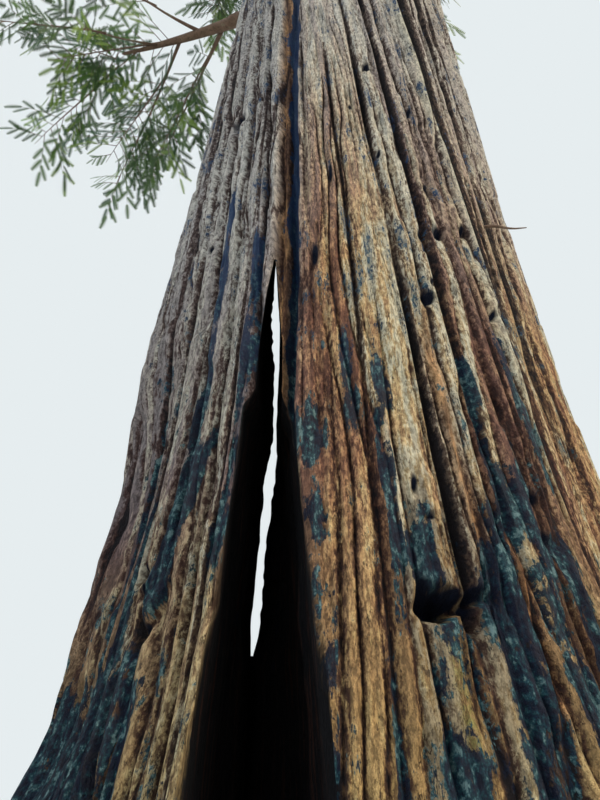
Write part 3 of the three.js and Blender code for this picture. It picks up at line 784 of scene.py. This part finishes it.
def make_limb(name, k, z, turn, reach, slope, has_bough):
    limb = Limb()
    bend = between(-0.15, 0.15, k, 4)
    lift = between(0.06, 0.16, k, 5) * reach
    root = trunk_axis(z)

    def curve(s):
        out = reach * s
        heading = turn + bend * s * s
        climb = out * slope + lift * s * s
        return root + np.array([out * math.cos(heading), out * math.sin(heading), climb])

    bark = float(mean_radius(z)) / reach
    limb.name, limb.k, limb.reach, limb.curve = name, k, reach, curve
    limb.radius_at = lambda s: BOUGH_GIRTH * reach * (1 - LIMB_TAPER * s)
    limb.start = max(BOUGH_SHARE, bark + 0.1) if has_bough else bark
    limb.bark, limb.has_bough, limb.is_leader = bark, has_bough, False
    limb.middle = curve((limb.start + 1) / 2)
    return limb


def make_leader():
    limb = Limb()
    reach = TREE_TOP - TRUNK_TOP
    girth = LEADER_GIRTH * float(mean_radius(TRUNK_TOP))
    limb.name, limb.k, limb.reach = "top", LIMBS + 1, reach
    limb.curve = lambda s: trunk_axis(TRUNK_TOP) + np.array([0, 0, reach * s])
    limb.radius_at = lambda s: girth * (1 - LIMB_TAPER * s)
    limb.start, limb.bark, limb.has_bough, limb.is_leader = 0, 0, False, True
    limb.middle = limb.curve(0.5)
    return limb


limbs = []
for k in range(LIMBS):
    rise = (k / (LIMBS - 1)) ** LIMB_CROWDING
    z = CROWN_FOOT + (CROWN_HEAD - CROWN_FOOT) * rise + between(-0.2, 0.2, k, 1)
    turn = k * GOLDEN_TURN + between(-0.2, 0.2, k, 2)
    reach = crown_reach(z) * between(0.8, 1.14, k, 3)
    slope = -0.26 + 0.85 * rise + between(-0.08, 0.08, k, 6)
    limbs.append(make_limb(f"{k + 1:02d}", k, z, turn, reach, slope, k < BOUGHS))
limbs.append(make_limb("low", LIMBS, *LOW_BOUGH, True))
limbs.append(make_leader())


def joined_mesh(name, points, faces, materials, slots=None):
    """One mesh from many like shapes: their points, and their faces as rows of corners."""
    mesh = bpy.data.meshes.new(name)
    mesh.vertices.add(len(points))
    mesh.vertices.foreach_set("co", np.asarray(points, np.float32).ravel())
    corners = faces.shape[1]
    mesh.loops.add(faces.size)
    mesh.loops.foreach_set("vertex_index", faces.astype(np.int32).ravel())
    mesh.polygons.add(len(faces))
    mesh.polygons.foreach_set("loop_start", np.arange(0, faces.size, corners, dtype=np.int32))
    for material in materials:
        mesh.materials.append(material)
    if slots is not None:
        mesh.polygons.foreach_set("material_index", slots.astype(np.int32))
    mesh.update(calc_edges=True)
    mesh.validate()
    return show(name, mesh)


def unit_rows(vectors):
    return vectors / np.linalg.norm(vectors, axis=-1, keepdims=True)


def tapering_round(lines, radii, sides, relief=0):
    """Closed tapering rounds along many lines of points at once, each coming to a point."""
    lines, radii = np.asarray(lines), np.asarray(radii)
    many, steps, _ = lines.shape
    along = unit_rows(np.gradient(lines, axis=1))
    guide = np.where(np.abs(along[:, :1, 2:]) > 0.9, [[[0, 1, 0]]], [[[0, 0, 1]]])
    side = unit_rows(np.cross(along, guide))
    up = np.cross(side, along)
    angle = 2 * math.pi * np.arange(sides) / sides
    girth = radii[:, :, None] * np.ones(sides)
    if relief:
        row, step, corner = np.indices((many, steps, sides))
        place = np.stack([3.1 * np.cos(angle)[corner] + 7 * row, 3.1 * np.sin(angle)[corner],
                          step * 0.35], axis=3).reshape(-1, 3)
        girth = girth * (1 + relief * soft_noise(place + 60, 31).reshape(many, steps, sides))
    ring = (side[:, :, None] * np.cos(angle)[:, None] + up[:, :, None] * np.sin(angle)[:, None])
    points = lines[:, :, None] + ring * girth[..., None]
    points = points.reshape(many, steps * sides, 3)
    tips = lines[:, -1] + along[:, -1] * radii[:, -1:] * 2
    points = np.concatenate([points, tips[:, None], lines[:, :1]], axis=1)
    here = np.arange(sides)
    after = (here + 1) % sides
    faces = []
    for step in range(steps - 1):
        low, high = step * sides, (step + 1) * sides
        faces.append(np.stack([here + low, after + low, after + high], 1))
        faces.append(np.stack([here + low, after + high, here + high], 1))
    last = (steps - 1) * sides
    faces.append(np.stack([here + last, after + last, 0 * here + steps * sides], 1))
    faces.append(np.stack([after, here, 0 * here + steps * sides + 1], 1))
    faces = np.concatenate(faces)[None] + (np.arange(many) * points.shape[1])[:, None, None]
    return points.reshape(-1, 3), faces.reshape(-1, 3)


def make_bough_bark():
    bark = BarkNodes("bough_bark")
    place = bark.add("ShaderNodeTexCoord").outputs["Object"]
    coarse = bark.noise(place, 9, 5, 0.6)
    fine = bark.noise(place, 70, 4, 0.65)
    base = bark.paint(
        (0.075, 0.045, 0.032, 1), (coarse, (0.24, 0.165, 0.12)),
        (bark.ramp(fine, 0.35, 0.5, 0.7, 0), (0.03, 0.022, 0.018)),
        (bark.ramp(coarse, 0.6, 0.72, 0, 0.5), (0.2, 0.215, 0.15)),
    )
    normal = bark.bump(fine, 0.01, 0.8, bark.bump(coarse, 0.04, 0.6))
    return bark.finish(base, bark.ramp(fine, 0.3, 0.7, 0.8, 0.96), normal)


bough_bark = make_bough_bark()
bough_limbs = [limb for limb in limbs if limb.has_bough]
bough_lines, bough_radii = [], []
for limb in bough_limbs:
    shares = np.linspace(limb.bark - 0.06 / limb.reach, limb.start + 0.02, BOUGH_STEPS)
    bough_lines.append([limb.curve(s) for s in shares])
    collar = 1 + 0.9 * np.exp(-(shares - limb.bark) / 0.05).clip(0, 1.6)
    bough_radii.append([limb.radius_at(s) for s in shares] * np.minimum(collar, 2))
points, faces = tapering_round(bough_lines, bough_radii, BOUGH_SIDES, 0.16)
boughs = joined_mesh("boughs", points, faces, [bough_bark])
boughs.data.shade_smooth()
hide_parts(*[f"bough_{limb.name}" for limb in bough_limbs])
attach(boughs, "root")


# Twigs
# From each bough's end the stem runs on, with five twigs in turn to either side, and fine
# twiglets that carry the needles. Their places follow one seeded rule, limb by limb.
TWIGS = 5
STEM_END = 0.98
LEADER_END = 0.84
SPRAY_LENGTH = 0.64
SPRAY_WIDTH = 0.78
SPRAY_THICKNESS = 0.04
SPRAY_TRIES = [1, 0.82, 0.66, 0.5]
PASSING_GAP = 0.015
TWIG_PASSING_GAP = 0.06
BEAD_STEP = 0.08
TWIGLETS = 22
middles = np.array([limb.middle for limb in limbs])
weights = np.array([(limb.reach / 2) ** 2 for limb in limbs])


def frame_at(curve, s):
    """Directions of a curve at a share of its length: along it, sideways and up."""
    along = unit(curve(s + 0.01) - curve(s - 0.01))
    guide = np.array([0, 1, 0]) if abs(along[2]) > 0.9 else np.array([0, 0, 1])
    side = unit(np.cross(along, guide))
    return along, side, np.cross(side, along)


def all_free(points, limb):
    """Whether points keep to a limb's own space, off the trunk and under the tree's top."""
    # A limb's own space is where its middle is nearest, after an allowance for its reach.
    index = limbs.index(limb)
    shares = ((points[:, None] - middles) ** 2).sum(2) - weights
    gaps = 2 * PASSING_GAP * np.linalg.norm(middles - middles[index], axis=1)
    ahead = shares - shares[:, index:index + 1] > gaps
    ahead[:, index] = True
    z = points[:, 2]
    out = np.hypot(points[:, 0] - axis_x(z), points[:, 1])
    clear = (z > TRUNK_TOP) | (out > 1.05 * mean_radius(np.clip(z, 0, 40)) + 2 * PASSING_GAP)
    return bool((ahead.all(1) & clear & (z < TREE_TOP + 0.0003)).all())


def limb_beads(limb, to):
    count = math.ceil(limb.reach * to / BEAD_STEP)
    shares = [to * i / count for i in range(count + 1)]
    return [np.append(limb.curve(s), limb.radius_at(s)) for s in shares]


def spray_axes(along, roll):
    _, side, up = frame_at(lambda s: along * s, 0.5)
    normal = up * math.cos(roll) + side * math.sin(roll)
    return along, np.cross(along, normal), normal


def spray_fits(root, length, axes, limb, beads):
    along, across, normal = axes
    half = SPRAY_WIDTH * length / 2
    middle = [root + along * length * i / 8 for i in range(9)]
    grid = [place + across * half * j for place in middle for j in (-1, 0, 1)]
    if not all_free(np.array(grid), limb):
        return False
    offset = beads[:, :3] - root
    gap = beads[:, 3] + PASSING_GAP
    ahead = offset @ along
    clear = (ahead < -gap) | (ahead > length + gap) | (np.abs(offset @ across) > half + gap)
    clear |= np.abs(offset @ normal) > SPRAY_THICKNESS * length + gap
    return bool(clear.all())


def twig_fits(start, end, limb, beads):
    points = np.array([start + (end - start) * i / 10 for i in range(2, 11)])
    if not all_free(points, limb):
        return False
    gaps = np.linalg.norm(points[:, None] - beads[:, :3], axis=2)
    return bool((gaps >= beads[:, 3] + TWIG_PASSING_GAP).all())


def grow_foliage(limb, beads):
    """The twigs and sprays of one limb: (start, end, radius) and (root, length, axes)."""
    twigs, sprays = [], []

    def try_spray(root, along, length, roll):
        for share in SPRAY_TRIES:
            axes = spray_axes(along, roll + 2 * (1 - share))
            if spray_fits(root, share * length, axes, limb, beads):
                sprays.append((root, share * length, axes))
                return

    for j in range(TWIGS):
        seed = limb.k * 40 + j
        s = limb.start + (1 - limb.start) * (j + 0.55) / (TWIGS + 0.4)
        along, side, up = frame_at(limb.curve, s)
        hand = 1 if j % 2 == 0 else -1
        spread = 0.95 - 0.35 * j / TWIGS + between(-0.15, 0.15, seed, 7)
        roll = hand * between(-0.75, 0.75, seed, 8) + (j * 2.2 if limb.is_leader else 0)
        direction = along * math.cos(spread) + side * hand * math.sin(spread) * math.cos(roll)
        direction = direction + up * math.sin(spread) * math.sin(roll)
        share = between(0.8, 1.2, seed, 9) * (1 - 0.45 * j / TWIGS)
        start = limb.curve(s)
        end = start + direction * 0.4 * limb.reach * share
        if not twig_fits(start, end, limb, beads):
            continue
        twigs.append((start, end, 0.5 * limb.radius_at(s)))
        size = SPRAY_LENGTH * limb.reach * between(0.85, 1.15, seed, 10)
        droop = np.array([0, 0, -0.5 * scatter(seed, 12)])
        tilt = hand * between(0.5, 1.3, seed, 11)
        try_spray(start + (end - start) * 0.72, unit(droop + direction), size, tilt)
        if j % 2 == 1:
            continue
        pull = -0.9 if scatter(seed, 13) < 0.7 else 0.7
        aside = unit(np.array([0, 0, pull]) + 0.35 * direction + 0.35 * along)
        try_spray(start + (end - start) * 0.45, aside, 0.9 * size, math.pi * scatter(seed, 14))
    length = 0.3 * limb.reach if limb.is_leader else SPRAY_LENGTH * limb.reach
    try_spray(limb.curve(0.7), frame_at(limb.curve, 1)[0], length, between(0.5, 1.3, limb.k, 15))
    return twigs, sprays


def outline_half(t):
    """Half width of a spray at a share of its length: two lobes and a tip, as shares of it."""
    lobes = 0.235 + 0.055 * np.cos(2 * math.pi * (t - 0.17) / 0.6)
    return lobes * np.clip((1.02 - t) / 0.22, 0, 1) ** 0.7 * np.clip((t + 0.12) / 0.2, 0, 1)


stem_lines, stem_radii = [], []
twig_lines, twig_radii = [], []
axis_lines, axis_radii = [], []
twiglet_lines, twiglet_radii, twiglet_limb = [], [], []
spray_steps = np.linspace(0, 1, 7)
for number, limb in enumerate(limbs):
    beads = [bead for other in limbs if other is not limb for bead in limb_beads(other, 1)]
    if limb.has_bough:
        beads += limb_beads(limb, limb.start)
    twigs, sprays = grow_foliage(limb, np.array(beads))
    first = limb.start if limb.has_bough else limb.start - 0.05 / limb.reach
    shares = np.linspace(max(first, 0), LEADER_END if limb.is_leader else STEM_END, 14)
    stem_lines.append([limb.curve(s) for s in shares])
    stem_radii.append([limb.radius_at(s) for s in shares])
    for start, end, radius in twigs:
        bow = np.array([0, 0, -0.05]) * np.linalg.norm(end - start)
        steps = np.linspace(0, 1, 6)
        twig_lines.append([start + (end - start) * s + bow * 4 * s * (1 - s) for s in steps])
        twig_radii.append(radius * (1 - 0.75 * steps))
    for index, (root, length, (along, across, normal)) in enumerate(sprays):
        seed = limb.k * 400 + index * 31
        sag = -0.05 * length * normal * (1 if normal[2] > 0 else -1)
        run = spray_steps[:, None]
        line = root + along * length * run * 0.97 + sag * 4 * run * run * (1 - 0.7 * run)
        axis_lines.append(line)
        axis_radii.append(0.0085 * length * (1 - 0.85 * spray_steps))
        for i in range(TWIGLETS):
            t = 0.05 + 0.9 * (i + between(-0.35, 0.35, seed + i, 32)) / TWIGLETS
            t = min(max(t, 0.02), 0.95)
            hand = 1 if i % 2 == 0 else -1
            reach = outline_half(t) * length * between(0.78, 1.1, seed + i, 33)
            place = t * (len(line) - 1)
            low = min(int(place), len(line) - 2)
            base = line[low] + (line[low + 1] - line[low]) * (place - low)
            lift = between(-0.62, 0.62, seed + i, 34)
            outward = (across * hand * 0.82 + along * 0.58 + normal * lift) * reach
            droop = np.array([0, 0, -0.26 * reach])
            at = (0, 0.36, 0.7, 1)
            twiglet_lines.append([base + outward * s * 1.12 + droop * s * s for s in at])
            twiglet_radii.append(0.0034 * length * np.array([1, 0.7, 0.45, 0.2]))
            twiglet_limb.append(number)


def join_rounds(*rounds):
    points, faces, count = [], [], 0
    for some_points, some_faces in rounds:
        points.append(some_points)
        faces.append(some_faces + count)
        count += len(some_points)
    return np.concatenate(points), np.concatenate(faces)


foliage_nodes = [f"foliage_{limb.name}" for limb in limbs]
stout = [
    tapering_round(stem_lines, stem_radii, 9, 0.12), tapering_round(twig_lines, twig_radii, 6),
    tapering_round(axis_lines, axis_radii, 4),
]
fine = [tapering_round(twiglet_lines, twiglet_radii, 3)]
for name, rounds in (("twigs", stout), ("twiglets", fine)):
    piece = joined_mesh(name, *join_rounds(*rounds), [bough_bark])
    piece.data.shade_smooth()
    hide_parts(*foliage_nodes)
    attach(piece, "root")


# Needles
# Flat sprays of short needles in two rows along fine shoots, deep green with paler young ones
# on some of the twiglets. They hang in layers from the twiglets.
SHOOTS_PER_TWIGLET = 6
NEEDLE_PAIRS = 9
NEEDLE_PIECES = 6
NEEDLE_MARGIN = 0.22
LONGEST_SHOOT = 0.34
LONGEST_LOW_SHOOT = 0.19
GREENS = {
    "deep_needles": (0.032, 0.075, 0.018, 1), "green_needles": (0.062, 0.14, 0.024, 1),
    "young_needles": (0.15, 0.25, 0.035, 1), "blue_needles": (0.038, 0.1, 0.045, 1),
}


def shoot_shape():
    """One shoot of needles along +X, of length 1: its points and faces."""
    spine_at = np.linspace(0, 0.93, NEEDLE_PAIRS + 1)
    spine = np.stack([spine_at, 0 * spine_at, -0.07 * spine_at ** 2], 1)
    middle = (spine_at[:-1] + spine_at[1:]) / 2
    long = 0.21 * (0.45 + 0.55 * np.sin(math.pi * (middle * 0.86 + 0.12))) * (1 - 0.2 * middle)
    left = np.stack([middle + 0.75 * long, long, 0.02 - 0.07 * middle ** 2], 1)
    points = np.concatenate([spine, left, left * [1, -1, 1]])
    k = np.arange(NEEDLE_PAIRS)
    tip = NEEDLE_PAIRS + 1 + k
    left_faces = np.stack([k, k + 1, tip], 1)
    right_faces = np.stack([k, tip + NEEDLE_PAIRS, k + 1], 1)
    return points, np.concatenate([left_faces, right_faces])


def plain_finish(name, colour, roughness, specular):
    material = bpy.data.materials.new(name)
    material.use_nodes = True
    shader = material.node_tree.nodes["Principled BSDF"].inputs
    shader["Base Color"].default_value = colour
    shader["Roughness"].default_value = roughness
    shader["Specular IOR Level"].default_value = specular
    return material


needle_finishes = [plain_finish(name, colour, 0.55, 0.3) for name, colour in GREENS.items()]
# Shoots stand along each twiglet, to its left and right in turn, with one at its end.
lines = np.array(twiglet_lines)
owner = np.array(twiglet_limb)
count = len(lines)
shoot = np.arange(SHOOTS_PER_TWIGLET)
share = 0.16 + 0.84 * (shoot + 0.5) / SHOOTS_PER_TWIGLET
share[-1] = 0.97
place = share * 3
low = np.minimum(place.astype(int), 2)
roots = lines[:, low] + (lines[:, low + 1] - lines[:, low]) * (place - low)[:, None]
run = lines[:, 3] - lines[:, 0]
reach = np.linalg.norm(run, axis=1, keepdims=True)
run /= reach
key = np.arange(count)[:, None] * 7 + shoot
hand = np.where(shoot % 2 == 0, 1, -1)
flat = unit_rows(np.cross(run, np.roll(run, 1, axis=0) + [0.01, 0.02, 0.9]))
# Each has three directions: ahead along the shoot, beside it and above it.
angle = hand * between(0.55, 0.95, key, 41)
angle[:, -1] = between(-0.2, 0.2, key[:, -1], 41)
tilt = between(-0.45, 0.45, key, 42)
ahead = run[:, None] * np.cos(angle)[..., None] + flat[:, None] * np.sin(angle)[..., None]
ahead[..., 2] -= between(0, 0.75, key, 43)
ahead = unit_rows(ahead)
above = np.cross(run, flat)[:, None] + tilt[..., None] * flat[:, None]
beside = unit_rows(np.cross(above, ahead))
above = np.cross(ahead, beside)
longest = np.where(owner == len(limbs) - 2, LONGEST_LOW_SHOOT, LONGEST_SHOOT)[:, None]
size = 0.66 * reach * (1.15 - 0.4 * share) * between(0.85, 1.2, key, 44)
size = np.clip(size, 0.03, longest)
# Shoots that would pass the box of the solids by more than the margin are left out.
tips = roots + ahead * size[..., None]
lowest, highest = np.min(cad_box, axis=0), np.max(cad_box, axis=0)
kept = ((tips > lowest - NEEDLE_MARGIN) & (tips < highest + NEEDLE_MARGIN)).all(axis=2)
shape_points, shape_faces = shoot_shape()
# Each twiglet's shoots have one green, and each piece holds the shoots of some of the limbs.
tone = scatter(np.arange(count), 45)
palette = np.select([tone < 0.36, tone < 0.72, tone < 0.87], [0, 1, 2], 3)
for number, group in enumerate(np.array_split(np.arange(len(limbs)), NEEDLE_PIECES), 1):
    mine = np.isin(owner, group)[:, None] & kept
    here = roots[mine]
    turned = [part[mine] for part in (ahead, beside, above)]
    points = sum(axis[:, None] * shape_points[None, :, i, None] for i, axis in enumerate(turned))
    points = here[:, None] + points * size[mine].reshape(-1, 1, 1)
    faces = shape_faces[None] + (np.arange(len(here)) * len(shape_points))[:, None, None]
    slots = np.repeat(np.broadcast_to(palette[:, None], kept.shape)[mine], len(shape_faces))
    points = points.reshape(-1, 3)
    points[:, 2] = np.minimum(points[:, 2], TREE_TOP)
    faces = faces.reshape(-1, 3)
    piece = joined_mesh(f"needles_{number}", points, faces, needle_finishes, slots)
    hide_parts(*[foliage_nodes[i] for i in group])
    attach(piece, "root")


# Dead twig
# A thin broken twig, bare and grey, that juts from the bark on the right.
DEAD_TWIG_TURN = -49.7
DEAD_TWIG_Z = 2.94
DEAD_TWIG_LENGTH = 0.215
DEAD_TWIG_RADIUS = 0.0085
root_turn = np.array([ground_turn_of(DEAD_TWIG_TURN, DEAD_TWIG_Z)])
steps = np.linspace(0, 1, 9)
crooks = [DEAD_TWIG_LENGTH * steps - 0.03, -0.012 * np.sin(3 * steps), 0.01 * np.sin(7 * steps)]
twig_line = bark_place(root_turn, np.array([DEAD_TWIG_Z])) + np.stack(crooks, axis=1)
points, faces = tapering_round([twig_line], [DEAD_TWIG_RADIUS * (1 - 0.7 * steps)], 7, 0.2)
dead_twig = joined_mesh("dead_twig", points, faces, [bough_bark])
dead_twig.data.shade_smooth()
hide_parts("trunk")
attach(dead_twig, "root")


# Camera, floor and light
# A camera near the foot that looks up the front of the trunk, over a plain pale floor, with
# a broad warm light from the right and a cool one from the left.
CAMERA_TILT = 124.2
FLOOR_RADIUS = 60
LAMP_AWAY = 30
camera_data = bpy.data.cameras.new("camera")
camera_data.lens = 27.05
camera_data.sensor_width = 36
camera_data.clip_end = 500
camera = show("camera", camera_data)
camera.location = EYE
camera.rotation_euler = (math.radians(CAMERA_TILT), 0, 0)
bpy.context.scene.camera = camera

floor_mesh = bpy.data.meshes.new("floor")
with edited(floor_mesh) as build:
    bmesh.ops.create_circle(build, cap_ends=True, segments=96, radius=FLOOR_RADIUS)
floor_mesh.materials.append(plain_finish("pale_floor", (0.52, 0.52, 0.5, 1), 0.9, 0.5))
floor = show("floor", floor_mesh)

world = bpy.data.worlds.new("studio")
world.use_nodes = True
sky = world.node_tree.nodes["Background"].inputs
sky["Color"].default_value = (0.86, 0.92, 0.94, 1)
sky["Strength"].default_value = 0.92
bpy.context.scene.world = world


def soft_light(name, turn, height, spread, strength, colour):
    """A broad far light from a turn round the tree and a height, both in degrees."""
    lamp = bpy.data.lights.new(name, "SUN")
    lamp.energy = strength
    lamp.angle = math.radians(spread)
    lamp.color = colour
    light = show(name, lamp)
    side, rise = math.radians(turn), math.radians(height)
    flat = math.cos(rise)
    toward = Vector((flat * math.cos(side), flat * math.sin(side), math.sin(rise)))
    light.location = LAMP_AWAY * toward
    light.rotation_euler = toward.to_track_quat("Z", "Y").to_euler()


soft_light("warm_light", -30, 42, 20, 3.5, (1, 0.88, 0.72))
soft_light("cool_light", -150, 50, 50, 1.5, (0.8, 0.88, 1))
bpy.context.scene.view_settings.view_transform = "Standard"
